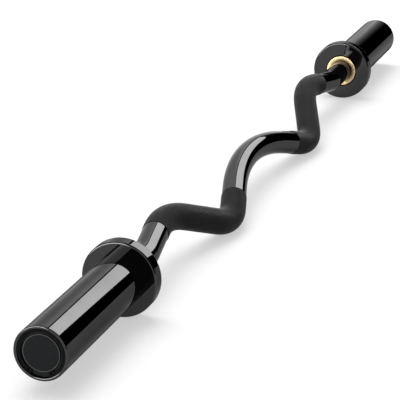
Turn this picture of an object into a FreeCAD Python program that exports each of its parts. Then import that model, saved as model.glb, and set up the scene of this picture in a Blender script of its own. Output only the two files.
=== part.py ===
"""EZ curl bar: a bent shaft with raised grips and two plate sleeves that turn on brass bushings.

Frame: millimetres, +Z up. The sleeves' common axis runs along X, and the middle of the bar is at x = 0.
The bar lies on the plane z = 0, on its two collars and on the two low bends of its shaft.
"""
import FreeCAD, Part
import math
import os
import re

import Sketcher

DRIVING = {
    # Lengths along the bar, outwards from its middle
    "low_corner_reach": 155.5,
    "grip_corner_span": 102.5,
    "end_corner_span": 87,
    "straight_end_length": 56.5,
    "collar_width": 15,
    "plate_sleeve_length": 183.5,
    # Shaft section, and how far the corners of its path lie above or below the sleeve axis
    "shaft_diameter": 26.5,
    "grip_diameter": 28,
    "arch_corner_rise": 21.5,
    "low_corner_drop": 38,
    "wrist_corner_rise": 17,
    "low_bend_radius": 60,
    "wrist_bend_radius": 92,
    "end_bend_radius": 70,
    # Straight run from the arch to the low bend, its smooth start, and the grip's length past the wrist bend
    "inner_run_length": 41.5,
    "smooth_arch_tail": 19.2,
    "grip_end_tail": 10.5,
    # Shaft ends
    "journal_diameter": 25,
    "shoulder_depth": 6,
    "shaft_end_gap": 14,
    "shaft_end_chamfer": 1.5,
    # Collar
    "collar_diameter": 74,
    "collar_rounding": 1.8,
    "collar_socket_depth": 10,
    "collar_mouth_chamfer": 1.5,
    # Sleeve
    "sleeve_diameter": 50,
    "sleeve_bore": 38,
    "sleeve_spigot_diameter": 46,
    "sleeve_shoulder_chamfer": 0.5,
    "sleeve_rounding": 1,
    "rim_wall": 3,
    "rim_chamfer": 0.5,
    # Bushings, washers and shaft snap ring
    "bushing_length": 30,
    "bushing_face_width": 3.5,
    "thrust_washer_diameter": 34,
    "thrust_washer_thickness": 2,
    "backing_washer_diameter": 32,
    "backing_washer_thickness": 2,
    "shaft_ring_diameter": 31,
    "shaft_ring_thickness": 1.5,
    "shaft_ring_groove_depth": 0.75,
    "shaft_ring_gap": 7,
    "shaft_ring_gap_angle": 90,
    # End cap, its snap ring and its label
    "cap_depth": 3,
    "cap_thickness": 4,
    "cap_spigot_length": 3,
    "cap_spigot_wall": 3,
    "cap_ring_thickness": 1.7,
    "cap_ring_width": 4,
    "cap_ring_groove_depth": 1,
    "cap_ring_gap": 18,
    "cap_ring_gap_angle": 356,
    "cap_ring_lug_width": 6,
    "cap_ring_lug_depth": 5.7,
    "cap_ring_plier_hole": 2.6,
    "cap_boss_diameter": 34,
    "cap_boss_height": 1.2,
    "label_diameter": 33.8,
    "label_thickness": 0.2,
    # Clearances: turning on the shaft, play along it, pieces pushed together, and pieces that only drop in
    "running_clearance": 0.05,
    "end_play": 0.3,
    "seat_clearance": 0.03,
    "loose_clearance": 0.2,
}

DERIVED = {
    "axis_height": "collar_diameter / 2",
    "wrist_corner_reach": "low_corner_reach + grip_corner_span",
    "end_corner_reach": "wrist_corner_reach + end_corner_span",
    "collar_inner": "end_corner_reach + straight_end_length",
    "collar_outer": "collar_inner + collar_width",
    "sleeve_end": "collar_outer + plate_sleeve_length",
    "sleeve_radius": "sleeve_diameter / 2",
    "bore_radius": "sleeve_bore / 2",
    "collar_radius": "collar_diameter / 2",
    # The sleeve's spigot fills the collar's socket, and its bevelled shoulder sits in a shallow seat there
    "socket_floor": "collar_outer - collar_socket_depth",
    "shoulder_seat": "collar_outer - sleeve_shoulder_chamfer",
    "spigot_radius": "sleeve_spigot_diameter / 2",
    "socket_radius": "spigot_radius + seat_clearance",
    "seat_radius": "sleeve_radius + seat_clearance",
    # Slopes of the shaft's straight runs, the arch that fills the rest, and the highest and lowest places
    "arch_slope": "atan((arch_corner_rise + low_corner_drop) / low_corner_reach)",
    "grip_slope": "atan((low_corner_drop + wrist_corner_rise) / grip_corner_span)",
    "low_bend_tangent": "low_bend_radius * tan((grip_slope + arch_slope) / 2)",
    "arch_tangent": "low_corner_reach / cos(arch_slope) - low_bend_tangent - inner_run_length",
    "arch_radius": "arch_tangent / tan(arch_slope)",
    "arch_top": "arch_corner_rise - arch_radius * (1 / cos(arch_slope) - 1)",
    "low_bend_share": "cos((grip_slope - arch_slope) / 2) / cos((grip_slope + arch_slope) / 2) - 1",
    "low_bend_drop": "low_corner_drop - low_bend_radius * low_bend_share",
    # The bar rests on its collars and its low bends, which sets how far the bends lean over
    "shaft_lean": "acos((collar_diameter - grip_diameter) / 2 / low_bend_drop)",
    # Shaft ends, and the outer bearing stack from the shaft's end inwards
    "shaft_radius": "shaft_diameter / 2",
    "grip_radius": "grip_diameter / 2",
    "journal_radius": "journal_diameter / 2",
    "shoulder": "collar_inner + shoulder_depth",
    "shaft_end": "sleeve_end - shaft_end_gap",
    "shaft_ring_outer": "shaft_end - 2 * shaft_end_chamfer",
    "shaft_ring_inner": "shaft_ring_outer - shaft_ring_thickness",
    "backing_washer_inner": "shaft_ring_inner - backing_washer_thickness",
    "thrust_washer_inner": "backing_washer_inner - thrust_washer_thickness",
    "outer_bushing_outer": "thrust_washer_inner - end_play",
    "outer_bushing_inner": "outer_bushing_outer - bushing_length",
    "washer_bore_radius": "journal_radius + seat_clearance",
    "shaft_groove_radius": "journal_radius - shaft_ring_groove_depth",
    "shaft_ring_bore_radius": "shaft_groove_radius + seat_clearance",
    "shaft_ring_radius": "shaft_ring_diameter / 2",
    # Bushings
    "bushing_radius": "bore_radius - seat_clearance",
    "bushing_bore_radius": "journal_radius + running_clearance",
    "bushing_face_radius": "bushing_radius - bushing_face_width",
    "shoulder_bore_radius": "shaft_radius + loose_clearance",
    "shoulder_floor": "shoulder + end_play",
    "inner_bushing_outer": "collar_inner + bushing_length",
    # Mouth of the sleeve
    "mouth_radius": "sleeve_radius - rim_wall",
    "cap_face": "sleeve_end - cap_depth",
    "cap_seat": "cap_face - cap_thickness",
    "cap_spigot_end": "cap_seat - cap_spigot_length",
    "cap_radius": "mouth_radius - loose_clearance",
    "cap_spigot_radius": "bore_radius - loose_clearance",
    "cap_spigot_bore_radius": "cap_spigot_radius - cap_spigot_wall",
    "cap_groove_radius": "mouth_radius + cap_ring_groove_depth",
    "cap_ring_outer": "cap_face + cap_ring_thickness",
    "cap_ring_radius": "cap_groove_radius - seat_clearance",
    "cap_ring_bore_radius": "cap_ring_radius - cap_ring_width",
    "cap_gap_half": "asin(cap_ring_gap / 2 / cap_ring_radius)",
    "cap_lug_half": "asin(cap_ring_lug_width / 2 / cap_ring_bore_radius)",
    "cap_lug_turn": "180 deg - cap_gap_half - cap_lug_half",
    "cap_lug_radius": "cap_ring_radius - cap_ring_lug_depth",
    "plier_hole_reach": "(cap_lug_radius + mouth_radius) / 2",
    "cap_boss_radius": "cap_boss_diameter / 2",
    "cap_boss_face": "cap_face + cap_boss_height",
    "label_face": "cap_boss_face + label_thickness",
}

ORIGIN = -1  # a sketch's own origin point and level axis
UPRIGHT = -2  # a sketch's upright axis
START, END, CENTRE = 1, 2, 3  # points of a line or an arc in a sketch

doc = FreeCAD.newDocument("ez_curl_bar")
sheet = doc.addObject("Spreadsheet::Sheet", "Dimensions")
for row, (alias, value) in enumerate((DRIVING | DERIVED).items(), start=1):
    sheet.set(f"A{row}", alias)
    sheet.set(f"B{row}", str(value) if alias in DRIVING else "=" + value)
    sheet.setAlias(f"B{row}", alias)
doc.recompute()


def bound(expression):
    """An expression on the sheet's aliases, as another object of the document writes it."""

    def with_sheet(word):
        alias = word.group()
        return f"Dimensions.{alias}" if alias in DRIVING or alias in DERIVED else alias

    return re.sub(r"[a-z_]+", with_sheet, expression)


def size(expression):
    """The value of such an expression, as a plain number."""
    value = sheet.evalExpression(bound(expression))
    return float(getattr(value, "Value", value))


def point(across, up):
    return FreeCAD.Vector(size(across), size(up), 0)


def new_body(name):
    body = doc.addObject("PartDesign::Body", name)
    body.Label = name
    return body


def origin_plane(body, role):
    return next(feature for feature in body.Origin.OriginFeatures if feature.Role == role)


def new_sketch(body, name, role):
    """A sketch on one of its body's own origin planes."""
    sketch = body.newObject("Sketcher::SketchObject", name)
    sketch.AttachmentSupport = [(origin_plane(body, role), "")]
    sketch.MapMode = "FlatFace"
    return sketch


def tie(sketch, constraint, expression):
    """Adds a constraint whose value follows a sheet expression."""
    index = sketch.addConstraint(constraint)
    sketch.setExpression(f"Constraints[{index}]", bound(expression))


def tie_point(sketch, geometry, end, across=None, up=None):
    """Ties a point's place from the sketch's origin to sheet expressions."""
    for kind, expression in (("DistanceX", across), ("DistanceY", up)):
        if expression is not None:
            tie(sketch, Sketcher.Constraint(kind, ORIGIN, START, geometry, end, size(expression)), expression)


def draw_outline(sketch, corners):
    """A closed outline of straight lines through corners, each a pair of sheet expressions."""
    places = [point(across, up) for across, up in corners]
    lines = [Part.LineSegment(a, b) for a, b in zip(places, places[1:] + places[:1])]
    runs = list(sketch.addGeometry(lines, False))
    for run, following in zip(runs, runs[1:] + runs[:1]):
        sketch.addConstraint(Sketcher.Constraint("Coincident", run, END, following, START))
    for run, (across, up) in zip(runs, corners):
        tie_point(sketch, run, START, across, up)


def draw_circle(sketch, radius, up="0"):
    """A circle on the sketch's upright axis."""
    circle = sketch.addGeometry(Part.Circle(point("0", up), FreeCAD.Vector(0, 0, 1), size(radius)), False)
    sketch.addConstraint(Sketcher.Constraint("PointOnObject", circle, CENTRE, UPRIGHT))
    tie_point(sketch, circle, CENTRE, up=up)
    tie(sketch, Sketcher.Constraint("Radius", circle, size(radius)), radius)


def turn_outline(body, name, corners):
    """Turns an outline of (place along the axis, radius) corners about the body's X axis."""
    sketch = new_sketch(body, f"{name}_outline", "XZ_Plane")
    draw_outline(sketch, corners)
    turning = body.newObject("PartDesign::Revolution", f"{name}_turning")
    turning.Profile = sketch
    turning.ReferenceAxis = (sketch, ["H_Axis"])
    turning.Angle = 360
    return turning


def turned_piece(name, side, corners):
    """A piece turned about the sleeve axis.

    It is drawn for the bar's right end (+X). The left end has the same piece, turned half round.
    """
    body = new_body(f"{side}_{name}")
    turn_outline(body, body.Label, corners)
    half_round = FreeCAD.Rotation(FreeCAD.Vector(0, 0, 1), 0 if side == "right" else 180)
    body.Placement = FreeCAD.Placement(FreeCAD.Vector(), half_round)
    body.setExpression("Placement.Base.z", bound("axis_height"))
    doc.recompute()
    return body


def swing(sketch, axis, angle):
    """Turns a sketch about one of its own axes, by an angle that follows a sheet expression."""
    sketch.AttachmentOffset = FreeCAD.Placement(FreeCAD.Vector(), FreeCAD.Rotation(axis, size(angle)))
    sketch.setExpression("AttachmentOffset.Rotation.Angle", bound(angle))


def turn_part_way(turning, sweep_angle, middle_angle):
    """Limits a turning to an angle, with its middle at another angle from straight up."""
    turning.Midplane = True
    turning.setExpression("Angle", bound(sweep_angle))
    swing(turning.Profile[0], FreeCAD.Vector(1, 0, 0), middle_angle)
    doc.recompute()


def open_ring(body, gap, outer_radius, gap_angle):
    """Opens a turned ring into a C, with its gap at an angle from straight down."""
    turn_part_way(body.Tip, f"360 deg - 2 * asin({gap} / 2 / {outer_radius})", gap_angle)


def add_lugs(ring):
    """Widens the ends of the cap's snap ring inwards into lugs, each with a hole for pliers."""
    outline = [
        ("cap_face", "cap_lug_radius"),
        ("cap_face", "cap_ring_radius - cap_ring_width / 2"),
        ("cap_ring_outer", "cap_ring_radius - cap_ring_width / 2"),
        ("cap_ring_outer", "cap_lug_radius"),
    ]
    for end, sign in (("first", "+"), ("second", "-")):
        lug = turn_outline(ring, f"{ring.Label}_{end}_lug", outline)
        turn_part_way(lug, "2 * cap_lug_half", f"cap_ring_gap_angle * 1 deg {sign} cap_lug_turn")
    sketch = new_sketch(ring, f"{ring.Label}_plier_holes", "YZ_Plane")
    radius = "cap_ring_plier_hole / 2"
    up = "-plier_hole_reach * cos(cap_gap_half + cap_lug_half)"
    for sign in ("", "-"):
        across = f"{sign}plier_hole_reach * sin(cap_gap_half + cap_lug_half)"
        circle = Part.Circle(point(across, up), FreeCAD.Vector(0, 0, 1), size(radius))
        hole = sketch.addGeometry(circle, False)
        tie_point(sketch, hole, CENTRE, across, up)
        tie(sketch, Sketcher.Constraint("Radius", hole, size(radius)), radius)
    swing(sketch, FreeCAD.Vector(0, 0, 1), "cap_ring_gap_angle * 1 deg")
    pocket = ring.newObject("PartDesign::Pocket", f"{ring.Label}_plier_pocket")
    pocket.Profile = sketch
    pocket.Type = "ThroughAll"
    pocket.Midplane = True
    doc.recompute()


def dress_edges(body, kind, alias, rings):
    """Rounds (Fillet) or bevels (Chamfer) a turned piece's edges at (radius, place along the axis) pairs."""
    wanted = [(size(radius), size(along)) for radius, along in rings]
    near = size("seat_clearance") / 2
    names = []
    for index, edge in enumerate(body.Tip.Shape.Edges, start=1):
        if isinstance(edge.Curve, Part.Circle):
            found = (edge.Curve.Radius, edge.Curve.Center.x)
            if any(math.dist(found, place) < near for place in wanted):
                names.append(f"Edge{index}")
    base = body.Tip
    feature = body.newObject(f"PartDesign::{kind}", f"{body.Label}_{alias}")
    feature.Base = (base, names)
    feature.setExpression("Radius" if kind == "Fillet" else "Size", bound(alias))
    doc.recompute()


def bend_points(before, corner, after, radius):
    """Where a bend starts, its middle, and where it ends."""
    back = (before - corner).normalize()
    onward = (after - corner).normalize()
    half_turn = (math.pi - back.getAngle(onward)) / 2
    reach = radius * math.tan(half_turn)
    inset = radius / math.cos(half_turn) - radius
    return corner + back * reach, corner + (back + onward).normalize() * inset, corner + onward * reach


def point_on_run(start, end, length):
    """The point of a straight run that lies a given length from its start."""
    return start + (end - start).normalize() * size(length)


def join_runs(sketch, first, second):
    """Joins two runs of a path smoothly, at the ends where they meet."""
    pairs = [(a, b) for a in (START, END) for b in (START, END)]
    gaps = [sketch.getPoint(first, a).distanceToPoint(sketch.getPoint(second, b)) for a, b in pairs]
    a, b = pairs[gaps.index(min(gaps))]
    sketch.addConstraint(Sketcher.Constraint("Tangent", first, a, second, b))


def draw_shaft_path(sketch):
    """Half of the shaft's centre line, from the top of the arch out to the shoulder.

    Straight runs are joined by tangent arcs, and the runs that the grip ends on are split there. Returns the
    runs along the grip.
    """
    arch_corner = point("0", "arch_corner_rise")
    low_corner = point("low_corner_reach", "-low_corner_drop")
    wrist_corner = point("wrist_corner_reach", "wrist_corner_rise")
    end_corner = point("end_corner_reach", "0")
    shoulder = point("shoulder", "0")
    low = bend_points(arch_corner, low_corner, wrist_corner, size("low_bend_radius"))
    wrist = bend_points(low_corner, wrist_corner, end_corner, size("wrist_bend_radius"))
    end = bend_points(wrist_corner, end_corner, shoulder, size("end_bend_radius"))
    arch_centre = point("0", "arch_top - arch_radius")
    arch_circle = Part.Circle(arch_centre, FreeCAD.Vector(0, 0, 1), size("arch_radius"))
    arch_top = math.pi / 2
    arch = Part.ArcOfCircle(arch_circle, arch_top - math.radians(size("arch_slope")), arch_top)
    grip_start = point_on_run(arch.StartPoint, low[0], "smooth_arch_tail")
    grip_end = point_on_run(wrist[2], end[0], "grip_end_tail")
    half_arch, arch_run, inner_run, low_bend, grip_run, wrist_bend, outer_run, end_run, end_bend, straight = (
        sketch.addGeometry(
            [
                arch,
                Part.LineSegment(arch.StartPoint, grip_start),
                Part.LineSegment(grip_start, low[0]),
                Part.Arc(*low),
                Part.LineSegment(low[2], wrist[0]),
                Part.Arc(*wrist),
                Part.LineSegment(wrist[2], grip_end),
                Part.LineSegment(grip_end, end[0]),
                Part.Arc(*end),
                Part.LineSegment(end[2], shoulder),
            ],
            False,
        )
    )
    for run in range(half_arch, straight):
        join_runs(sketch, run, run + 1)
    for run, place, axis in (
        (half_arch, CENTRE, UPRIGHT),
        (half_arch, END, UPRIGHT),
        (straight, START, ORIGIN),
        (straight, END, ORIGIN),
    ):
        sketch.addConstraint(Sketcher.Constraint("PointOnObject", run, place, axis))
    tie_point(sketch, straight, END, across="shoulder")
    for run, length in ((arch_run, "smooth_arch_tail"), (outer_run, "grip_end_tail")):
        tie(sketch, Sketcher.Constraint("Distance", run, size(length)), length)
    for bend, radius in (
        (half_arch, "arch_radius"),
        (low_bend, "low_bend_radius"),
        (wrist_bend, "wrist_bend_radius"),
        (end_bend, "end_bend_radius"),
    ):
        tie(sketch, Sketcher.Constraint("Radius", bend, size(radius)), radius)
    for corner, first_line, second_line, across, up in (
        (arch_corner, UPRIGHT, arch_run, None, "arch_corner_rise"),
        (low_corner, inner_run, grip_run, "low_corner_reach", "-low_corner_drop"),
        (wrist_corner, grip_run, outer_run, "wrist_corner_reach", "wrist_corner_rise"),
        (end_corner, end_run, straight, "end_corner_reach", None),
    ):
        mark = sketch.addGeometry(Part.Point(corner), True)
        for line in (first_line, second_line):
            sketch.addConstraint(Sketcher.Constraint("PointOnObject", mark, START, line))
        tie_point(sketch, mark, START, across, up)
    return range(inner_run, outer_run + 1)


def edge_name(sketch, run):
    """The name that a sketch's shape gives to one of its runs, which it may list in another order."""
    middle = sketch.Geometry[run].toShape().CenterOfMass.x
    gaps = [abs(edge.CenterOfMass.x - middle) for edge in sketch.Shape.Edges]
    return f"Edge{gaps.index(min(gaps)) + 1}"


def sweep(body, name, section, path, edges):
    pipe = body.newObject("PartDesign::AdditivePipe", name)
    pipe.Profile = section
    pipe.Spine = (path, edges)
    doc.recompute()
    return pipe


def build_shaft():
    """The bent bar: one half is swept along its path, turned at its end and mirrored about the middle."""
    body = new_body("shaft")
    path = new_sketch(body, "shaft_path", "XZ_Plane")
    grip_runs = draw_shaft_path(path)
    doc.recompute()
    grip_edges = [edge_name(path, run) for run in grip_runs]
    path_edges = [f"Edge{index}" for index in range(1, len(path.Shape.Edges) + 1)]
    section = new_sketch(body, "shaft_section", "YZ_Plane")
    draw_circle(section, "shaft_radius", up="arch_top")
    bar = sweep(body, "shaft_bar", section, path, path_edges)
    grip_section = body.newObject("Sketcher::SketchObject", "grip_section")
    grip_section.AttachmentSupport = [(path, grip_edges[0])]
    grip_section.MapMode = "NormalToEdge"
    grip_section.MapPathParameter = 0
    draw_circle(grip_section, "grip_radius")
    grip = sweep(body, "shaft_grip", grip_section, path, grip_edges)
    journal = turn_outline(
        body,
        "journal",
        [
            ("collar_inner", "0"),
            ("collar_inner", "journal_radius"),
            ("shaft_ring_inner - seat_clearance", "journal_radius"),
            ("shaft_ring_inner - seat_clearance", "shaft_groove_radius"),
            ("shaft_ring_outer + seat_clearance", "shaft_groove_radius"),
            ("shaft_ring_outer + seat_clearance", "journal_radius"),
            ("shaft_end - shaft_end_chamfer", "journal_radius"),
            ("shaft_end", "journal_radius - shaft_end_chamfer"),
            ("shaft_end", "0"),
        ],
    )
    doc.recompute()
    mirrored = body.newObject("PartDesign::Mirrored", "shaft_halves")
    mirrored.Originals = [bar, grip, journal]
    mirrored.MirrorPlane = (origin_plane(body, "YZ_Plane"), [""])
    body.Tip = mirrored
    leaning = FreeCAD.Rotation(FreeCAD.Vector(-1, 0, 0), size("shaft_lean"))
    body.Placement = FreeCAD.Placement(FreeCAD.Vector(), leaning)
    body.setExpression("Placement.Base.z", bound("axis_height"))
    body.setExpression("Placement.Rotation.Angle", bound("shaft_lean"))
    doc.recompute()


def build_sleeve(side):
    """The tube that takes the plates, and the collar that its shoulder and spigot are pushed into."""
    sleeve = turned_piece(
        "sleeve",
        side,
        [
            ("socket_floor", "bore_radius"),
            ("socket_floor", "spigot_radius"),
            ("shoulder_seat", "spigot_radius"),
            ("shoulder_seat", "sleeve_radius"),
            ("sleeve_end", "sleeve_radius"),
            ("sleeve_end", "mouth_radius"),
            ("cap_ring_outer + seat_clearance", "mouth_radius"),
            ("cap_ring_outer + seat_clearance", "cap_groove_radius"),
            ("cap_face - seat_clearance", "cap_groove_radius"),
            ("cap_face - seat_clearance", "mouth_radius"),
            ("cap_seat", "mouth_radius"),
            ("cap_seat", "bore_radius"),
        ],
    )
    dress_edges(sleeve, "Fillet", "sleeve_rounding", [("sleeve_radius", "sleeve_end")])
    dress_edges(sleeve, "Chamfer", "sleeve_shoulder_chamfer", [("sleeve_radius", "shoulder_seat")])
    dress_edges(sleeve, "Chamfer", "rim_chamfer", [("mouth_radius", "sleeve_end")])
    collar = turned_piece(
        "collar",
        side,
        [
            ("collar_inner", "bore_radius"),
            ("collar_inner", "collar_radius"),
            ("collar_outer", "collar_radius"),
            ("collar_outer", "seat_radius"),
            ("shoulder_seat", "seat_radius"),
            ("shoulder_seat", "socket_radius"),
            ("socket_floor", "socket_radius"),
            ("socket_floor", "bore_radius"),
        ],
    )
    rims = [("collar_radius", "collar_inner"), ("collar_radius", "collar_outer")]
    dress_edges(collar, "Fillet", "collar_rounding", rims)
    dress_edges(collar, "Chamfer", "collar_mouth_chamfer", [("bore_radius", "collar_inner")])


def build_bearings(side):
    """The brass bushings in the sleeve's bore, and the washers and snap ring that keep it on the shaft."""
    turned_piece(
        "inner_bushing",
        side,
        [
            ("collar_inner", "bushing_face_radius"),
            ("collar_inner", "bushing_radius"),
            ("inner_bushing_outer", "bushing_radius"),
            ("inner_bushing_outer", "bushing_bore_radius"),
            ("shoulder_floor", "bushing_bore_radius"),
            ("shoulder_floor", "shoulder_bore_radius"),
            ("collar_inner + bushing_face_radius - shoulder_bore_radius", "shoulder_bore_radius"),
        ],
    )
    rings = {
        "outer_bushing": (
            "outer_bushing_inner",
            "outer_bushing_outer",
            "bushing_bore_radius",
            "bushing_radius",
        ),
        "thrust_washer": (
            "thrust_washer_inner",
            "backing_washer_inner",
            "washer_bore_radius",
            "thrust_washer_diameter / 2",
        ),
        "backing_washer": (
            "backing_washer_inner",
            "shaft_ring_inner",
            "washer_bore_radius",
            "backing_washer_diameter / 2",
        ),
        "shaft_snap_ring": (
            "shaft_ring_inner",
            "shaft_ring_outer",
            "shaft_ring_bore_radius",
            "shaft_ring_radius",
        ),
    }
    for name, (inner, outer, bore, radius) in rings.items():
        ring = turned_piece(name, side, [(inner, bore), (inner, radius), (outer, radius), (outer, bore)])
    open_ring(ring, "shaft_ring_gap", "shaft_ring_radius", "shaft_ring_gap_angle")


def build_end_cap(side):
    """The stepped plate in the sleeve's mouth, the open spring ring that holds it and the disc on its face."""
    turned_piece(
        "end_cap",
        side,
        [
            ("cap_boss_face", "0"),
            ("cap_boss_face", "cap_boss_radius"),
            ("cap_face", "cap_boss_radius"),
            ("cap_face", "cap_radius"),
            ("cap_seat", "cap_radius"),
            ("cap_seat", "cap_spigot_radius"),
            ("cap_spigot_end", "cap_spigot_radius"),
            ("cap_spigot_end", "cap_spigot_bore_radius"),
            ("cap_seat", "cap_spigot_bore_radius"),
            ("cap_seat", "0"),
        ],
    )
    ring = turned_piece(
        "cap_snap_ring",
        side,
        [
            ("cap_face", "cap_ring_bore_radius"),
            ("cap_face", "cap_ring_radius"),
            ("cap_ring_outer", "cap_ring_radius"),
            ("cap_ring_outer", "cap_ring_bore_radius"),
        ],
    )
    open_ring(ring, "cap_ring_gap", "cap_ring_radius", "cap_ring_gap_angle")
    add_lugs(ring)
    turned_piece(
        "cap_label",
        side,
        [
            ("cap_boss_face", "0"),
            ("cap_boss_face", "label_diameter / 2"),
            ("label_face", "label_diameter / 2"),
            ("label_face", "0"),
        ],
    )


def write_parts():
    """Checks every object and every piece, then writes each piece to its own file."""
    failed = [thing.Name for thing in doc.Objects if {"Invalid", "Error"} & set(thing.State)]
    pieces = [thing for thing in doc.Objects if thing.TypeId == "PartDesign::Body"]
    for piece in pieces:
        shape = piece.Shape
        if shape.isNull() or not shape.isValid() or len(shape.Solids) != 1:
            failed.append(piece.Label)
    if failed:
        raise RuntimeError("not built: " + ", ".join(failed))
    os.makedirs("parts", exist_ok=True)
    for piece in pieces:
        piece.Shape.exportStep(f"parts/{piece.Label}.step")
        print(piece.Label, round(piece.Shape.Volume), "mm3")


build_shaft()
for bar_side in ("left", "right"):
    build_sleeve(bar_side)
    build_bearings(bar_side)
    build_end_cap(bar_side)
doc.recompute()
write_parts()
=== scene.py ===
import math
from collections import Counter

import bpy
from mathutils import Matrix, Vector


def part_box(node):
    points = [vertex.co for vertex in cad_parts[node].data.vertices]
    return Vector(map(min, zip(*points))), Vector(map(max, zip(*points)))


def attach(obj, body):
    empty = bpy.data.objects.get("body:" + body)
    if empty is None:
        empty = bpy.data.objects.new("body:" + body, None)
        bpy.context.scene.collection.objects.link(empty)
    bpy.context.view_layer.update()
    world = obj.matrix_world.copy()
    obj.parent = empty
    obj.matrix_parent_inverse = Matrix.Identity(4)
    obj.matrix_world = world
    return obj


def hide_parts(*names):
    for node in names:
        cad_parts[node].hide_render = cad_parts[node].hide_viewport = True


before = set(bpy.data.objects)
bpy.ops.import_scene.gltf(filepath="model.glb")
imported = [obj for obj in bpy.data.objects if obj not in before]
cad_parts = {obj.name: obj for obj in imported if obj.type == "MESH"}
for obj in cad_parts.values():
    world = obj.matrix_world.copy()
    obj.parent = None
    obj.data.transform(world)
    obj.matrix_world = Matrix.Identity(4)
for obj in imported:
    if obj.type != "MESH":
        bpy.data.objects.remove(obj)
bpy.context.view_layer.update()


# Bent shaft: one solid steel bar, bent in a former into a middle arch, two low grips and two straight ends.
# Diamonds are rolled into the grips, the ends are turned down to journals, and the bar is plated black.
axis_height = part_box("right_collar")[1].z / 2
collar_inner_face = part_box("right_collar")[0].x
shaft_radius = 0.01325
grip_root_radius = 0.01345
grip_crest_radius = 0.01395
grip_band_radius = 0.014
knurl_depth = grip_crest_radius - grip_root_radius
journal_radius = 0.0125
shoulder_depth = 0.006
ring_groove_start = 0.58147
ring_groove_end = 0.58303
ring_groove_radius = 0.01175
tip_bevel_start = 0.5845
tip_end = 0.586
tip_radius = 0.011
shaft_facets = 64
shaft_step = 0.003
grip_facets = 34
grip_step = 0.0026
low_reach = 0.1555
low_drop = 0.038
arch_rise = 0.0215
grip_span = 0.1025
wrist_rise = 0.017
end_span = 0.087
low_radius = 0.06
wrist_radius = 0.092
end_radius = 0.07
inner_run = 0.0415
arch_tail = 0.0192
outer_tail = 0.0105
arch_slope = math.atan2(arch_rise + low_drop, low_reach)
grip_slope = math.atan2(low_drop + wrist_rise, grip_span)
end_slope = math.atan2(wrist_rise, end_span)
low_tangent = low_radius * math.tan((arch_slope + grip_slope) / 2)
wrist_tangent = wrist_radius * math.tan((grip_slope + end_slope) / 2)
end_tangent = end_radius * math.tan(end_slope / 2)
arch_radius = (low_reach / math.cos(arch_slope) - low_tangent - inner_run) / math.tan(arch_slope)
arch_top = arch_rise - arch_radius * (1 / math.cos(arch_slope) - 1)
grip_run = math.hypot(grip_span, low_drop + wrist_rise) - low_tangent - wrist_tangent
end_run = math.hypot(end_span, wrist_rise) - wrist_tangent - end_tangent
straight_end = collar_inner_face + shoulder_depth - low_reach - grip_span - end_span - end_tangent
sag = math.cos((grip_slope - arch_slope) / 2) / math.cos((grip_slope + arch_slope) / 2) - 1
lean = math.acos((axis_height - grip_band_radius) / (low_drop - low_radius * sag))
arch_route = [(arch_slope, arch_radius), (0, arch_tail)]
grip_route = [
    (0, inner_run - arch_tail),
    (-arch_slope - grip_slope, low_radius),
    (0, grip_run),
    (grip_slope + end_slope, wrist_radius),
    (0, outer_tail),
]
end_route = [(0, end_run - outer_tail), (-end_slope, end_radius), (0, straight_end)]


def start_ring(name, place, heading, radius, facets):
    """Starts a piece as one ring that faces along the bar, and opens it for drawing on."""
    bpy.ops.object.select_all(action="DESELECT")
    bpy.ops.mesh.primitive_circle_add(
        vertices=facets, radius=radius, location=place, rotation=(0, math.pi / 2 + heading, 0)
    )
    piece = bpy.context.object
    piece.name = name
    bpy.ops.object.transform_apply(location=True, rotation=True, scale=True)
    bpy.ops.object.mode_set(mode="EDIT")
    bpy.ops.mesh.select_mode(type="EDGE")
    bpy.ops.mesh.select_all(action="SELECT")
    return piece


def draw_along(route, place, heading, step):
    """Draws the selected ring along runs and bends in the bar's own plane, and gives where it stops."""
    for turn, size in route:
        ahead = Vector((math.cos(heading), 0, -math.sin(heading)))
        above = Vector((math.sin(heading), 0, math.cos(heading)))
        if turn == 0:
            count = max(1, round(size / step))
            for _ in range(count):
                bpy.ops.mesh.extrude_region_move(TRANSFORM_OT_translate={"value": ahead * size / count})
            place = place + ahead * size
        else:
            centre = place - above * math.copysign(size, turn)
            count = max(1, round(abs(turn) * size / step))
            bpy.ops.mesh.spin(steps=count, angle=-turn, center=centre, axis=(0, 1, 0))
            place = centre + Matrix.Rotation(turn, 3, "Y") @ (place - centre)
            heading = heading + turn
    return place, heading


def draw_turned(corners, height):
    """Draws the selected ring through the corners of a turned outline, each a place along and a radius."""
    for (start, radius), (end, next_radius) in zip(corners, corners[1:]):
        bpy.ops.mesh.extrude_region_move(TRANSFORM_OT_translate={"value": (end - start, 0, 0)})
        ratio = next_radius / radius
        bpy.ops.transform.resize(value=(1, ratio, ratio), center_override=(end, 0, height))


def step_ring(place, ratio):
    """Adds a face around the selected ring, in its own plane, out or in to another radius."""
    bpy.ops.mesh.extrude_region_move(TRANSFORM_OT_translate={"value": (0, 0, 0)})
    bpy.ops.transform.resize(value=(ratio, ratio, ratio), center_override=place)


def close_shell():
    """Joins the open piece's seams, fills its ends and turns its faces outwards."""
    bpy.ops.mesh.select_all(action="SELECT")
    bpy.ops.mesh.remove_doubles(threshold=0.000005)
    bpy.ops.mesh.fill_holes(sides=0)
    bpy.ops.mesh.normals_make_consistent(inside=False)
    bpy.ops.object.mode_set(mode="OBJECT")


middle = Vector((0, 0, arch_top))
arch_bar = start_ring("bent_shaft", middle, 0, shaft_radius, shaft_facets)
grip_start, grip_heading = draw_along(arch_route, middle, 0, shaft_step)
step_ring(grip_start, grip_root_radius / shaft_radius)
bpy.ops.object.mode_set(mode="OBJECT")

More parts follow.
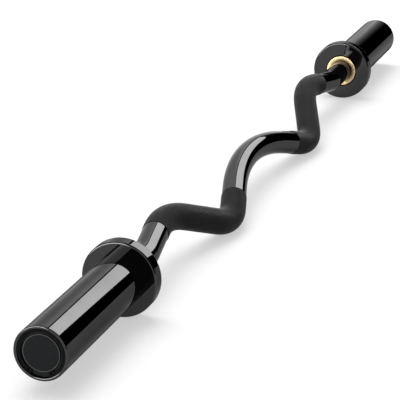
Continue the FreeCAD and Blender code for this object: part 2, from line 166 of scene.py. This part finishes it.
grip_bar = start_ring("grip", grip_start, grip_heading, grip_root_radius, grip_facets)
grip_stop, end_heading = draw_along(grip_route, grip_start, grip_heading, grip_step)
bpy.ops.mesh.select_all(action="SELECT")
bpy.ops.mesh.normals_make_consistent(inside=False)
bpy.ops.mesh.mark_seam(clear=False)
bpy.ops.mesh.poke()
bpy.ops.mesh.select_all(action="DESELECT")
bpy.ops.object.mode_set(mode="OBJECT")
edge_uses = Counter(key for face in grip_bar.data.polygons for key in face.edge_keys)
for edge in grip_bar.data.edges:
    edge.select = edge.use_seam and edge_uses[edge.key] == 2
bpy.ops.object.mode_set(mode="EDIT")
bpy.ops.mesh.dissolve_edges(use_verts=False)
bpy.ops.mesh.select_all(action="SELECT")
bpy.ops.mesh.mark_seam(clear=True)
bpy.ops.object.mode_set(mode="OBJECT")
root_count = len(grip_bar.data.vertices)
bpy.ops.object.mode_set(mode="EDIT")
bpy.ops.mesh.poke(offset=knurl_depth, use_relative_offset=False, center_mode="MEDIAN")
bpy.ops.object.mode_set(mode="OBJECT")
# The diamonds' tips are marked for the painted highlight and wear on the grip's crests.
crest = grip_bar.data.attributes.new("crest", "FLOAT", "POINT")
for point in range(root_count, len(grip_bar.data.vertices)):
    crest.data[point].value = 1.0

end_bar = start_ring("end", grip_stop, end_heading, grip_root_radius, shaft_facets)
step_ring(grip_stop, shaft_radius / grip_root_radius)
end_stop = draw_along(end_route, grip_stop, end_heading, shaft_step)[0]
draw_turned(
    [
        (end_stop.x, shaft_radius),
        (end_stop.x, journal_radius),
        (ring_groove_start, journal_radius),
        (ring_groove_start, ring_groove_radius),
        (ring_groove_end, ring_groove_radius),
        (ring_groove_end, journal_radius),
        (tip_bevel_start, journal_radius),
        (tip_end, tip_radius),
    ],
    height=0,
)
bpy.ops.mesh.edge_face_add()
bpy.ops.object.mode_set(mode="OBJECT")


def fine_mottle_group():
    """Makes the node group that varies a value softly over a finish, from least to most."""
    group = bpy.data.node_groups.new("fine_mottle", "ShaderNodeTree")
    for name, value in (("Scale", 40.0), ("Least", 0.0), ("Most", 1.0)):
        socket = group.interface.new_socket(name=name, in_out="INPUT", socket_type="NodeSocketFloat")
        socket.default_value = value
    group.interface.new_socket(name="Value", in_out="OUTPUT", socket_type="NodeSocketFloat")
    entry = group.nodes.new("NodeGroupInput")
    leave = group.nodes.new("NodeGroupOutput")
    place = group.nodes.new("ShaderNodeTexCoord")
    noise = group.nodes.new("ShaderNodeTexNoise")
    noise.inputs["Detail"].default_value = 4.0
    spread = group.nodes.new("ShaderNodeMapRange")
    spread.inputs["From Min"].default_value = 0.3
    spread.inputs["From Max"].default_value = 0.7
    group.links.new(place.outputs["Object"], noise.inputs["Vector"])
    group.links.new(entry.outputs["Scale"], noise.inputs["Scale"])
    group.links.new(noise.outputs["Fac"], spread.inputs["Value"])
    group.links.new(entry.outputs["Least"], spread.inputs["To Min"])
    group.links.new(entry.outputs["Most"], spread.inputs["To Max"])
    group.links.new(spread.outputs["Result"], leave.inputs["Value"])
    return group


fine_mottle = fine_mottle_group()


def new_finish(name):
    """Starts a material and gives it with its nodes, its links and its main shader."""
    finish = bpy.data.materials.new(name)
    finish.use_nodes = True
    nodes = finish.node_tree.nodes
    return finish, nodes, finish.node_tree.links, nodes["Principled BSDF"]


def add_mottle(nodes, scale, least, most):
    """Places the mottle group in a material with its own scale and range."""
    mottle = nodes.new("ShaderNodeGroup")
    mottle.node_tree = fine_mottle
    mottle.inputs["Scale"].default_value = scale
    mottle.inputs["Least"].default_value = least
    mottle.inputs["Most"].default_value = most
    return mottle.outputs["Value"]


def mottled_colour(nodes, links, scale, dark, light):
    """Gives a colour that wanders between two shades of one finish."""
    amount = add_mottle(nodes, scale, least=0.0, most=1.0)
    mix = nodes.new("ShaderNodeMix")
    mix.data_type = "RGBA"
    mix.inputs[6].default_value = (*dark, 1)
    mix.inputs[7].default_value = (*light, 1)
    links.new(amount, mix.inputs["Factor"])
    return mix.outputs[2]


def add_bump(nodes, links, height, shader, strength, distance):
    """Turns a height into the shader's surface relief."""
    bump = nodes.new("ShaderNodeBump")
    bump.inputs["Strength"].default_value = strength
    bump.inputs["Distance"].default_value = distance
    links.new(height, bump.inputs["Height"])
    links.new(bump.outputs["Normal"], shader.inputs["Normal"])


def black_plating(name, dark, light, smooth, hazy, edge_gloss, edge_tint):
    """Makes a black plated finish that mirrors the room faintly, with its own gloss along its outlines."""
    finish, nodes, links, shader = new_finish(name)
    facing = nodes.new("ShaderNodeLayerWeight")
    gloss = nodes.new("ShaderNodeMapRange")
    gloss.interpolation_type = "SMOOTHSTEP"
    gloss.inputs["From Min"].default_value = 0.76
    gloss.inputs["From Max"].default_value = 0.94
    gloss.inputs["To Min"].default_value = 1.0
    gloss.inputs["To Max"].default_value = edge_gloss
    links.new(facing.outputs["Facing"], gloss.inputs["Value"])
    links.new(gloss.outputs["Result"], shader.inputs["Metallic"])
    shader.inputs["Specular IOR Level"].default_value = 0.0
    shader.inputs["Specular Tint"].default_value = (edge_tint, edge_tint, edge_tint, 1)
    colour = mottled_colour(nodes, links, scale=60.0, dark=dark, light=light)
    links.new(colour, shader.inputs["Base Color"])
    links.new(add_mottle(nodes, scale=90.0, least=smooth, most=hazy), shader.inputs["Roughness"])
    ripple = add_mottle(nodes, scale=260.0, least=0.0, most=1.0)
    add_bump(nodes, links, ripple, shader, strength=0.006, distance=0.0002)
    return finish


plating_dark = (0.048, 0.048, 0.048)
plating_light = (0.052, 0.052, 0.052)
shaft_plating = black_plating(
    "shaft_black_plating",
    plating_dark,
    plating_light,
    smooth=0.025,
    hazy=0.045,
    edge_gloss=1.0,
    edge_tint=0.52,
)
arch_bar.data.materials.append(shaft_plating)
end_bar.data.materials.append(shaft_plating)

# Painted highlight and wear: the diamonds' crests are pale grey, and their near-black roots are painted
# shade.
root_shade_black = (0.001, 0.001, 0.001, 1)
crest_wear_and_glint_dark = (0.17, 0.17, 0.17)
crest_wear_and_glint_light = (0.22, 0.22, 0.22)
grip_plating, nodes, links, shader = new_finish("grip_black_plating")
shader.inputs["Metallic"].default_value = 0.1
shader.inputs["Specular IOR Level"].default_value = 0.05
shader.inputs["Specular Tint"].default_value = (0.3, 0.3, 0.3, 1)
crest_glint = nodes.new("ShaderNodeAttribute")
crest_glint.attribute_name = "crest"
crest_glint_shape = nodes.new("ShaderNodeMath")
crest_glint_shape.operation = "POWER"
crest_glint_shape.inputs[1].default_value = 2.0
wear_and_glint_mix = nodes.new("ShaderNodeMix")
wear_and_glint_mix.data_type = "RGBA"
wear_and_glint_mix.inputs[6].default_value = root_shade_black
crest_wear_and_glint_colour = mottled_colour(nodes, links, scale=220.0, dark=crest_wear_and_glint_dark, light=crest_wear_and_glint_light)
links.new(crest_glint.outputs["Fac"], crest_glint_shape.inputs[0])
links.new(crest_glint_shape.outputs["Value"], wear_and_glint_mix.inputs["Factor"])
links.new(crest_wear_and_glint_colour, wear_and_glint_mix.inputs[7])
links.new(wear_and_glint_mix.outputs[2], shader.inputs["Base Color"])
links.new(add_mottle(nodes, scale=300.0, least=0.32, most=0.38), shader.inputs["Roughness"])
grip_bar.data.materials.append(grip_plating)

bpy.ops.object.select_all(action="DESELECT")
for part in (arch_bar, grip_bar, end_bar):
    part.select_set(True)
bpy.context.view_layer.objects.active = arch_bar
bpy.ops.object.join()
bent_shaft = bpy.context.object
bpy.ops.object.modifier_add(type="MIRROR")
bent_shaft.modifiers["Mirror"].merge_threshold = 0.00001
bpy.ops.object.modifier_apply(modifier="Mirror")
bpy.ops.object.mode_set(mode="EDIT")
close_shell()
bent_shaft.rotation_euler.x = -lean
bent_shaft.location.z = axis_height
bpy.ops.object.transform_apply(location=True, rotation=True, scale=True)
bpy.ops.object.shade_smooth_by_angle(angle=math.radians(30))
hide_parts("shaft")
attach(bent_shaft, "shaft")


# Collars: two thick round stops, turned from steel with rounded edges and plated gloss black. Each is
# pressed on the inner end of its sleeve, and the innermost weight plate rests against its outer face.
collar_outer_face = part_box("right_collar")[1].x
collar_radius = axis_height
collar_rounding = 0.0018
recess_floor = 0.416
recess_radius = 0.02503
socket_floor = 0.4065
socket_radius = 0.02303
collar_bore = 0.019
bore_bevel_start = 0.403
bore_bevel_radius = 0.0205
turned_facets = 128
side_turns = {"left": math.pi, "right": 0}


def turned_piece(name, corners, side_turn):
    """Makes a closed turned piece at the right end from its outline, then turns it to its own side."""
    start = Vector((corners[0][0], 0, axis_height))
    piece = start_ring(name, start, 0, corners[0][1], turned_facets)
    draw_turned(corners, axis_height)
    close_shell()
    piece.rotation_euler.z = side_turn
    bpy.ops.object.transform_apply(location=True, rotation=True, scale=True)
    return piece


def round_edges(piece, rings, width, steps):
    """Rounds the edges of a turned piece that lie at the given places along the bar and radii."""
    bpy.ops.object.mode_set(mode="EDIT")
    bpy.ops.mesh.select_mode(type="EDGE")
    bpy.ops.mesh.select_all(action="DESELECT")
    bpy.ops.object.mode_set(mode="OBJECT")
    same_place = 0.00002
    corners = []
    for point in piece.data.vertices:
        corners.append((abs(point.co.x), math.hypot(point.co.y, point.co.z - axis_height)))
    for edge in piece.data.edges:
        ends = [corners[index] for index in edge.vertices]
        edge.select = any(all(math.dist(end, ring) < same_place for end in ends) for ring in rings)
    bpy.ops.object.mode_set(mode="EDIT")
    bpy.ops.mesh.bevel(offset=width, segments=steps, profile=0.5, affect="EDGES")
    bpy.ops.object.mode_set(mode="OBJECT")


def smooth_turned(piece):
    """Shades a turned piece smooth round its curves and keeps its flat faces flat."""
    bpy.ops.object.shade_smooth_by_angle(angle=math.radians(32))
    bpy.ops.object.modifier_add(type="WEIGHTED_NORMAL")
    piece.modifiers["WeightedNormal"].keep_sharp = True
    bpy.ops.object.modifier_apply(modifier="WeightedNormal")


gloss_black = black_plating(
    "collar_black_plating",
    plating_dark,
    plating_light,
    smooth=0.025,
    hazy=0.04,
    edge_gloss=0.0,
    edge_tint=0.46,
)
for side, side_turn in side_turns.items():
    collar = turned_piece(
        f"{side}_collar_stop",
        [
            (collar_inner_face, collar_radius),
            (collar_outer_face, collar_radius),
            (collar_outer_face, recess_radius),
            (recess_floor, recess_radius),
            (recess_floor, socket_radius),
            (socket_floor, socket_radius),
            (socket_floor, collar_bore),
            (bore_bevel_start, collar_bore),
            (collar_inner_face, bore_bevel_radius),
            (collar_inner_face, collar_radius),
        ],
        side_turn,
    )
    rims = [(collar_inner_face, collar_radius), (collar_outer_face, collar_radius)]
    round_edges(collar, rims, collar_rounding, steps=8)
    smooth_turned(collar)
    collar.data.materials.append(gloss_black)
    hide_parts(f"{side}_collar")
    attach(collar, f"{side}_sleeve")


# Sleeves: two steel tubes that take the weight plates, turned with a spigot for the collar and with a
# grooved mouth for the end cap and its ring. They are plated gloss black and turn on brass bushings.
sleeve_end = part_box("right_sleeve")[1].x
sleeve_radius = 0.025
spigot_start = 0.4065
spigot_end = 0.416
spigot_radius = 0.023
shoulder_end = 0.4165
shoulder_radius = 0.0245
mouth_radius = 0.022
mouth_floor = 0.593
mouth_groove_start = 0.59697
mouth_groove_end = 0.59873
mouth_groove_radius = 0.023
sleeve_bore = 0.019
lip_rounding = 0.0012
for side, side_turn in side_turns.items():
    sleeve = turned_piece(
        f"{side}_plate_sleeve",
        [
            (spigot_start, spigot_radius),
            (spigot_end, spigot_radius),
            (spigot_end, shoulder_radius),
            (shoulder_end, sleeve_radius),
            (sleeve_end, sleeve_radius),
            (sleeve_end, mouth_radius),
            (mouth_groove_end, mouth_radius),
            (mouth_groove_end, mouth_groove_radius),
            (mouth_groove_start, mouth_groove_radius),
            (mouth_groove_start, mouth_radius),
            (mouth_floor, mouth_radius),
            (mouth_floor, sleeve_bore),
            (spigot_start, sleeve_bore),
            (spigot_start, spigot_radius),
        ],
        side_turn,
    )
    lip_edges = [(sleeve_end, sleeve_radius), (sleeve_end, mouth_radius)]
    round_edges(sleeve, lip_edges, lip_rounding, steps=6)
    smooth_turned(sleeve)
    sleeve.data.materials.append(gloss_black)
    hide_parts(f"{side}_sleeve")
    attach(sleeve, f"{side}_sleeve")


# Inner bushings: brass rings turned on a lathe and pressed into the collars, with a bevelled mouth round
# the shaft. The sleeve turns on them, and the shaft's shoulder runs against the step inside.
bushing_radius = 0.01897
bushing_end = 0.4315
bushing_bore = 0.01255
shoulder_step = 0.4078
shoulder_bore = 0.01345
mouth_bevel_start = 0.4022
mouth_bevel_radius = 0.01547
face_groove_floor = collar_inner_face + 0.0005
face_groove_inner = 0.01675
face_groove_floor_inner = 0.01695
face_groove_floor_outer = 0.01735
face_groove_outer = 0.01755
bushing_rounding = 0.0003
brass_dark = (0.72, 0.53, 0.28)
brass_light = (0.8, 0.61, 0.35)


def lathe_marks_group():
    """Makes the node group for the fine rings that a lathe tool leaves round the bar's axis."""
    group = bpy.data.node_groups.new("lathe_marks", "ShaderNodeTree")
    socket = group.interface.new_socket(name="Spacing", in_out="INPUT", socket_type="NodeSocketFloat")
    socket.default_value = 0.0004
    group.interface.new_socket(name="Height", in_out="OUTPUT", socket_type="NodeSocketFloat")
    group.interface.new_socket(name="Radius", in_out="OUTPUT", socket_type="NodeSocketFloat")
    entry = group.nodes.new("NodeGroupInput")
    leave = group.nodes.new("NodeGroupOutput")
    place = group.nodes.new("ShaderNodeTexCoord")
    centre = group.nodes.new("ShaderNodeMapping")
    centre.inputs["Location"].default_value = (0, 0, -axis_height)
    parts = group.nodes.new("ShaderNodeSeparateXYZ")
    square = group.nodes.new("ShaderNodeMath")
    square.operation = "MULTIPLY"
    square_up = group.nodes.new("ShaderNodeMath")
    square_up.operation = "MULTIPLY_ADD"
    root = group.nodes.new("ShaderNodeMath")
    root.operation = "SQRT"
    along = group.nodes.new("ShaderNodeMath")
    along.operation = "ADD"
    count = group.nodes.new("ShaderNodeMath")
    count.operation = "DIVIDE"
    noise = group.nodes.new("ShaderNodeTexNoise")
    noise.noise_dimensions = "1D"
    noise.inputs["Scale"].default_value = 1.0
    noise.inputs["Detail"].default_value = 2.0
    group.links.new(place.outputs["Object"], centre.inputs["Vector"])
    group.links.new(centre.outputs["Vector"], parts.inputs["Vector"])
    group.links.new(parts.outputs["Y"], square.inputs[0])
    group.links.new(parts.outputs["Y"], square.inputs[1])
    group.links.new(parts.outputs["Z"], square_up.inputs[0])
    group.links.new(parts.outputs["Z"], square_up.inputs[1])
    group.links.new(square.outputs["Value"], square_up.inputs[2])
    group.links.new(square_up.outputs["Value"], root.inputs[0])
    group.links.new(root.outputs["Value"], along.inputs[0])
    group.links.new(parts.outputs["X"], along.inputs[1])
    group.links.new(along.outputs["Value"], count.inputs[0])
    group.links.new(entry.outputs["Spacing"], count.inputs[1])
    group.links.new(count.outputs["Value"], noise.inputs["W"])
    group.links.new(noise.outputs["Fac"], leave.inputs["Height"])
    group.links.new(root.outputs["Value"], leave.inputs["Radius"])
    return group


lathe_marks = lathe_marks_group()


def add_lathe_marks(nodes, spacing):
    """Places the lathe marks in a material with its own spacing."""
    marks = nodes.new("ShaderNodeGroup")
    marks.node_tree = lathe_marks
    marks.inputs["Spacing"].default_value = spacing
    return marks.outputs


turned_brass, nodes, links, shader = new_finish("turned_brass")
shader.inputs["Metallic"].default_value = 1.0
brass_colour = mottled_colour(nodes, links, scale=180.0, dark=brass_dark, light=brass_light)
links.new(brass_colour, shader.inputs["Base Color"])
links.new(add_mottle(nodes, scale=400.0, least=0.4, most=0.48), shader.inputs["Roughness"])
brass_marks = add_lathe_marks(nodes, spacing=0.0003)
add_bump(nodes, links, brass_marks["Height"], shader, strength=0.25, distance=0.0001)
for side, side_turn in side_turns.items():
    bushing = turned_piece(
        f"{side}_collar_bushing",
        [
            (collar_inner_face, bushing_radius),
            (bushing_end, bushing_radius),
            (bushing_end, bushing_bore),
            (shoulder_step, bushing_bore),
            (shoulder_step, shoulder_bore),
            (mouth_bevel_start, shoulder_bore),
            (collar_inner_face, mouth_bevel_radius),
            (collar_inner_face, face_groove_inner),
            (face_groove_floor, face_groove_floor_inner),
            (face_groove_floor, face_groove_floor_outer),
            (collar_inner_face, face_groove_outer),
            (collar_inner_face, bushing_radius),
        ],
        side_turn,
    )
    round_edges(bushing, [(collar_inner_face, bushing_radius)], bushing_rounding, steps=3)
    smooth_turned(bushing)
    bushing.data.materials.append(turned_brass)
    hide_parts(f"{side}_inner_bushing")
    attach(bushing, f"{side}_sleeve")


# Outer bushings and thrust washers: plain brass rings inside the sleeve's outer end, round the shaft's
# journal. They are pressed or laid in and stay hidden behind the end cap.
def dress_node(name, finish):
    """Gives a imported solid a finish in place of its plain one."""
    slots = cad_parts[name].data.materials
    slots.clear()
    slots.append(finish)


for side in side_turns:
    dress_node(f"{side}_outer_bushing", turned_brass)
    dress_node(f"{side}_thrust_washer", turned_brass)


# Backing washers and shaft snap rings: a flat steel washer and an open spring ring on each journal. The
# ring snaps into the shaft's groove and keeps the sleeve from sliding off.
steel_dark = (0.48, 0.48, 0.5)
steel_light = (0.6, 0.6, 0.61)
plain_steel, nodes, links, shader = new_finish("plain_steel")
shader.inputs["Metallic"].default_value = 1.0
steel_colour = mottled_colour(nodes, links, scale=150.0, dark=steel_dark, light=steel_light)
links.new(steel_colour, shader.inputs["Base Color"])
links.new(add_mottle(nodes, scale=350.0, least=0.28, most=0.42), shader.inputs["Roughness"])
steel_marks = add_lathe_marks(nodes, spacing=0.0005)
add_bump(nodes, links, steel_marks["Height"], shader, strength=0.2, distance=0.0001)
for side in side_turns:
    dress_node(f"{side}_backing_washer", plain_steel)
    dress_node(f"{side}_shaft_snap_ring", plain_steel)


# End caps: round plates of moulded black plastic with a short spigot and a raised middle. They are laid into
# the sleeve's mouth to keep the grease in and the dust out.
boss_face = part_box("right_end_cap")[1].x
boss_radius = 0.017
boss_rounding = 0.0003
cap_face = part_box("right_cap_snap_ring")[0].x
cap_back = 0.593
cap_radius = 0.0218
cap_spigot_end = 0.59
cap_spigot_inside = 0.0158
cap_spigot_outside = 0.0188
plastic_dark = (0.003, 0.003, 0.0035)
plastic_light = (0.005, 0.005, 0.0055)
cap_plastic, nodes, links, shader = new_finish("cap_black_plastic")
shader.inputs["Specular IOR Level"].default_value = 0.15
plastic_colour = mottled_colour(nodes, links, scale=300.0, dark=plastic_dark, light=plastic_light)
links.new(plastic_colour, shader.inputs["Base Color"])
links.new(add_mottle(nodes, scale=500.0, least=0.35, most=0.5), shader.inputs["Roughness"])
grain = add_mottle(nodes, scale=1500.0, least=0.0, most=1.0)
add_bump(nodes, links, grain, shader, strength=0.15, distance=0.0001)
for side, side_turn in side_turns.items():
    cap = turned_piece(
        f"{side}_sleeve_cap",
        [
            (cap_back, cap_spigot_inside),
            (cap_spigot_end, cap_spigot_inside),
            (cap_spigot_end, cap_spigot_outside),
            (cap_back, cap_spigot_outside),
            (cap_back, cap_radius),
            (cap_face, cap_radius),
            (cap_face, boss_radius),
            (boss_face, boss_radius),
        ],
        side_turn,
    )
    round_edges(cap, [(boss_face, boss_radius)], boss_rounding, steps=3)
    smooth_turned(cap)
    cap.data.materials.append(cap_plastic)
    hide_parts(f"{side}_end_cap")
    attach(cap, f"{side}_sleeve")


# Cap snap rings: open rings of flat spring steel with two lugs for pliers, blackened in an oxide bath. Each
# is squeezed into the groove of the sleeve's mouth and holds the end cap, with its gap at the bottom.
oxide_dark = (0.006, 0.006, 0.0065)
oxide_light = (0.01, 0.01, 0.0105)
black_oxide, nodes, links, shader = new_finish("ring_black_oxide")
shader.inputs["Metallic"].default_value = 1.0
oxide_colour = mottled_colour(nodes, links, scale=250.0, dark=oxide_dark, light=oxide_light)
links.new(oxide_colour, shader.inputs["Base Color"])
links.new(add_mottle(nodes, scale=420.0, least=0.16, most=0.26), shader.inputs["Roughness"])
for side in side_turns:
    dress_node(f"{side}_cap_snap_ring", black_oxide)


# Cap labels: thin dark discs with a satin face, coloured with one plain pale grey ring near the edge. Each
# is stuck on the raised middle of its end cap.
label_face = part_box("right_cap_label")[1].x
label_radius = 0.0169
label_rounding = 0.0001
pale_ring_radius = 0.0166
pale_ring_half_width = 0.00025
label_dark = (0.009, 0.011, 0.012)
label_light = (0.011, 0.014, 0.015)
pale_ring_grey = (0.26, 0.265, 0.27, 1)
ringed_label, nodes, links, shader = new_finish("ringed_label")
shader.inputs["Specular IOR Level"].default_value = 0.12
label_colour = mottled_colour(nodes, links, scale=400.0, dark=label_dark, light=label_light)
# A pale grey ring is painted into the label's colour just inside its edge.
band = nodes.new("ShaderNodeMath")
band.operation = "COMPARE"
band.inputs[1].default_value = pale_ring_radius
band.inputs[2].default_value = pale_ring_half_width
links.new(add_lathe_marks(nodes, spacing=0.001)["Radius"], band.inputs[0])
pale_ring_mix = nodes.new("ShaderNodeMix")
pale_ring_mix.data_type = "RGBA"
pale_ring_mix.inputs[7].default_value = pale_ring_grey
links.new(band.outputs["Value"], pale_ring_mix.inputs["Factor"])
links.new(label_colour, pale_ring_mix.inputs[6])
links.new(pale_ring_mix.outputs[2], shader.inputs["Base Color"])
links.new(add_mottle(nodes, scale=600.0, least=0.3, most=0.42), shader.inputs["Roughness"])
for side, side_turn in side_turns.items():
    label = turned_piece(
        f"{side}_ringed_label",
        [(boss_face, label_radius), (label_face, label_radius)],
        side_turn,
    )
    round_edges(label, [(label_face, label_radius)], label_rounding, steps=2)
    smooth_turned(label)
    label.data.materials.append(ringed_label)
    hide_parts(f"{side}_cap_label")
    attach(label, f"{side}_sleeve")


# Floor: a plain sheet that is white to the eye and in the bar's reflections, and keeps the bar's shadow. It
# throws less light back up at the bar than a white sheet would.
floor_size = 12
floor_pale = (0.48, 0.48, 0.48, 1)
floor_bounce = (0.16, 0.16, 0.16, 1)
floor_lift = 0.49
bpy.ops.object.select_all(action="DESELECT")
bpy.ops.mesh.primitive_plane_add(size=floor_size)
floor = bpy.context.object
floor.name = "studio_floor"
floor_white, nodes, links, shader = new_finish("floor_white")
shader.inputs["Roughness"].default_value = 0.9
shader.inputs["Specular IOR Level"].default_value = 0.0
floor_path = nodes.new("ShaderNodeLightPath")
floor_colour = nodes.new("ShaderNodeMix")
floor_colour.data_type = "RGBA"
floor_colour.inputs[6].default_value = floor_pale
floor_colour.inputs[7].default_value = floor_bounce
links.new(floor_path.outputs["Is Diffuse Ray"], floor_colour.inputs["Factor"])
links.new(floor_colour.outputs[2], shader.inputs["Base Color"])


def seen_directly(nodes, links):
    """Gives one for rays from the camera, a mirror or glass, and nought for the light on the object."""
    path = nodes.new("ShaderNodeLightPath")
    first = nodes.new("ShaderNodeMath")
    first.operation = "MAXIMUM"
    second = nodes.new("ShaderNodeMath")
    second.operation = "MAXIMUM"
    links.new(path.outputs["Is Camera Ray"], first.inputs[0])
    links.new(path.outputs["Is Glossy Ray"], first.inputs[1])
    links.new(first.outputs["Value"], second.inputs[0])
    links.new(path.outputs["Is Transmission Ray"], second.inputs[1])
    return second.outputs["Value"]


lift = nodes.new("ShaderNodeMath")
lift.operation = "MULTIPLY"
lift.inputs[1].default_value = floor_lift
links.new(seen_directly(nodes, links), lift.inputs[0])
links.new(lift.outputs["Value"], shader.inputs["Emission Strength"])
shader.inputs["Emission Color"].default_value = (1, 1, 1, 1)
floor.data.materials.append(floor_white)


# Studio light: lit and black cards that only the bar's reflections see, one soft lamp overhead that casts
# its shadow, and an even room. The black cards stand behind, above and on the right; the lit ones are a soft
# box, a paler panel and a low glow behind the bar, and a long box in front of it.
def studio_card(name, corner_low, corner_high):
    """Adds a card between two corners, square to one axis, that only the bar's reflections see."""
    bpy.ops.object.select_all(action="DESELECT")
    bpy.ops.mesh.primitive_plane_add(size=2, location=(0, 0, 0))
    card = bpy.context.object
    card.name = name
    low = Vector(corner_low)
    high = Vector(corner_high)
    size = high - low
    if size.z == 0:
        card.scale = (size.x / 2, size.y / 2, 1)
    elif size.x == 0:
        card.rotation_euler = (math.pi / 2, 0, math.pi / 2)
        card.scale = (size.y / 2, size.z / 2, 1)
    else:
        card.rotation_euler = (math.pi / 2, 0, 0)
        card.scale = (size.x / 2, size.z / 2, 1)
    card.location = (low + high) / 2
    bpy.ops.object.transform_apply(location=True, rotation=True, scale=True)
    card.visible_camera = False
    card.visible_diffuse = False
    card.visible_shadow = False
    return card


card_black, nodes, links, shader = new_finish("card_black")
shader.inputs["Base Color"].default_value = (0.005, 0.005, 0.005, 1)
shader.inputs["Roughness"].default_value = 1.0
shader.inputs["Specular IOR Level"].default_value = 0.0
back_card = studio_card("back_card", (2.0, -1.8, 0.0), (2.0, 0.35, 2.6))
side_card = studio_card("side_card", (-3.6, -3.6, 0.0), (4.0, -3.6, 5.2))
roof_card = studio_card("roof_card", (-2.0, -1.8, 2.6), (2.2, 0.3, 2.6))
for card in (back_card, side_card, roof_card):
    card.data.materials.append(card_black)


def soft_glow(name, centre, reach, least, most):
    """Makes a glow for a lit card that is strongest at one place and fades evenly around it."""
    finish = bpy.data.materials.new(name)
    finish.use_nodes = True
    nodes = finish.node_tree.nodes
    links = finish.node_tree.links
    nodes.remove(nodes["Principled BSDF"])
    place = nodes.new("ShaderNodeTexCoord")
    shape = nodes.new("ShaderNodeMapping")
    shape.vector_type = "TEXTURE"
    shape.inputs["Location"].default_value = centre
    shape.inputs["Scale"].default_value = reach
    ball = nodes.new("ShaderNodeTexGradient")
    ball.gradient_type = "SPHERICAL"
    level = nodes.new("ShaderNodeMapRange")
    level.interpolation_type = "SMOOTHSTEP"
    level.inputs["To Min"].default_value = least
    level.inputs["To Max"].default_value = most
    glow = nodes.new("ShaderNodeEmission")
    links.new(place.outputs["Object"], shape.inputs["Vector"])
    links.new(shape.outputs["Vector"], ball.inputs["Vector"])
    links.new(ball.outputs["Fac"], level.inputs["Value"])
    links.new(level.outputs["Result"], glow.inputs["Strength"])
    links.new(glow.outputs["Emission"], nodes["Material Output"].inputs["Surface"])
    return finish


glow_panel = studio_card("glow_panel", (2.2, 0.2, 0.0), (2.2, 3.2, 3.0))
glow_light = soft_glow("glow_light", centre=(2.2, 0.45, 1.4), reach=(1.0, 0.8, 1.2), least=2.0, most=3.2)
glow_panel.data.materials.append(glow_light)
low_glow = studio_card("low_glow", (1.95, -0.3, 0.0), (1.95, 0.36, 0.66))
low_light = soft_glow("low_light", centre=(1.95, 0.36, 0.1), reach=(1.0, 0.66, 0.8), least=0.0, most=4.5)
low_glow.data.materials.append(low_light)


def plain_glow(name, strength):
    """Makes an even glow for a lit card."""
    finish = bpy.data.materials.new(name)
    finish.use_nodes = True
    nodes = finish.node_tree.nodes
    nodes.remove(nodes["Principled BSDF"])
    glow = nodes.new("ShaderNodeEmission")
    glow.inputs["Strength"].default_value = strength
    finish.node_tree.links.new(glow.outputs["Emission"], nodes["Material Output"].inputs["Surface"])
    return finish


soft_box = studio_card("soft_box", (1.92, -1.04, 0.685), (1.92, 0.2, 2.405))
soft_box.data.materials.append(plain_glow("soft_box_light", strength=9.7))
front_box = studio_card("front_box", (-2.9, 0.5, 0.12), (-2.9, 4.2, 1.35))
front_box.data.materials.append(plain_glow("front_light", strength=16.0))

key_place = Vector((1.8, 1.8, 5.6))
key_turn = key_place.to_track_quat("Z", "Y").to_euler()
key_width = 5.2
bpy.ops.object.light_add(type="AREA", location=key_place, rotation=key_turn)
key_light = bpy.context.object
key_light.name = "key_light"
key_light.data.shape = "RECTANGLE"
key_light.data.size = key_width
key_light.data.size_y = key_width
key_light.data.energy = 352
key_light.visible_glossy = False

room_light = 0.55
room_seen = 1.0
world = bpy.data.worlds.new("studio_room")
bpy.context.scene.world = world
world.use_nodes = True
nodes = world.node_tree.nodes
links = world.node_tree.links
room = nodes["Background"]
room.inputs["Color"].default_value = (1, 1, 1, 1)
room_level = nodes.new("ShaderNodeMapRange")
room_level.inputs["To Min"].default_value = room_light
room_level.inputs["To Max"].default_value = room_seen
links.new(seen_directly(nodes, links), room_level.inputs["Value"])
links.new(room_level.outputs["Result"], room.inputs["Strength"])


# Camera: the photograph's view, from beyond the bar's left end and a little above it, through a long lens.
# Its place, its tilt down and its turn were fitted to the bar's outline.
camera_place = (-1.937635, -0.588004, 0.652687)
camera_tilt = 0.319
camera_turn = 0.323
bpy.ops.object.camera_add(
    location=camera_place, rotation=(math.pi / 2 - camera_tilt, 0, camera_turn - math.pi / 2)
)
camera = bpy.context.object
camera.data.sensor_width = 36
camera.data.lens = 170.1
bpy.context.scene.camera = camera
bpy.context.scene.view_settings.view_transform = "Standard"
